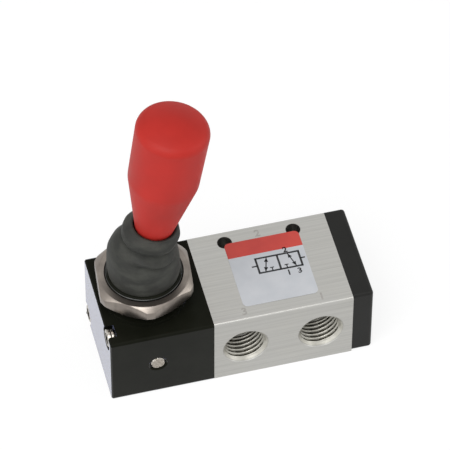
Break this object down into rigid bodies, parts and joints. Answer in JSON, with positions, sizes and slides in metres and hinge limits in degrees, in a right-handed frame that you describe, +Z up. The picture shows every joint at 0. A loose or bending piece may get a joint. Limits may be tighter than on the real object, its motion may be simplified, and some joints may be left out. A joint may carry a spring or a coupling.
{
  "type": "hand lever air valve",
  "caption": "Manual spool air valve with a rubber-booted hand lever, panel neck and nut, threaded ports in an aluminium body, and a spring that returns lever and spool.",
  "frame": {"origin": "middle of the valve's underside, midway between the lever end and the end cap", "axes": "+X along the spool from the lever end to the end cap, +Y from the face with two ports to the face with one port, +Z up the lever neck"},
  "size_m": [0.0786, 0.0337, 0.0987],
  "materials": {
    "body_aluminium": "brushed",
    "housing_black": "satin anodised black",
    "cap_black": "fine moulded",
    "screw_steel": "zinc plated",
    "seal_rubber": "smooth nitrile",
    "pin_steel": "ground, nickel plated",
    "washer_nylon": "natural nylon",
    "nut_nickel": "dull nickel plate",
    "boot_rubber": "matte moulded",
    "bush_brass": "turned",
    "cage_brass": "turned",
    "spring_steel": "drawn music wire",
    "hub_steel": "milled",
    "stem_steel": "turned, zinc plated",
    "grip_red": "matte moulded red",
    "spool_aluminium": "hard anodised, polished"
  },
  "bodies": {
    "valve": {"valve_body": "body_aluminium", "lever_housing": "housing_black", "end_cap": "cap_black", "housing_screws": "screw_steel", "end_cap_screws": "screw_steel", "housing_face_seal": "seal_rubber", "cap_face_seal": "seal_rubber", "pivot_pin": "pin_steel", "thrust_washers": "washer_nylon", "panel_nut": "nut_nickel", "rubber_boot": "boot_rubber", "guide_bush": "bush_brass", "wiper_seal": "seal_rubber", "exhaust_cage": "cage_brass", "outlet_cage": "cage_brass", "supply_cage": "cage_brass", "bore_seal_1": "seal_rubber", "bore_seal_2": "seal_rubber", "bore_seal_3": "seal_rubber", "bore_seal_4": "seal_rubber", "spring_spacer": "cage_brass", "return_spring": "spring_steel"},
    "lever": {"cam_hub": "hub_steel", "hub_bush": "bush_brass", "lever_stem": "stem_steel", "stem_pin": "pin_steel", "grip": "grip_red", "grip_insert": "bush_brass"},
    "spool": {"spool": "spool_aluminium", "cam_follower": "pin_steel", "spring_cup": "hub_steel"}
  },
  "joints": [
    {"name": "lever_swing", "type": "hinge", "parent": "valve", "child": "lever", "pos_m": [-0.02527, 0, 0.0127], "axis": [0, -1, 0], "range_deg": [0, 18], "stiffness_Nm_per_rad": 0.2, "springref_deg": -34.38, "deforming": ["rubber_boot"]},
    {"name": "spool_slide", "type": "slide", "parent": "valve", "child": "spool", "axis": [1, 0, 0], "range_m": [0, 0.00252], "deforming": ["return_spring"]}
  ],
  "couplings": [
    {"joint": "spool_slide", "follows": "lever_swing", "m_per_rad": 0.008}
  ]
}
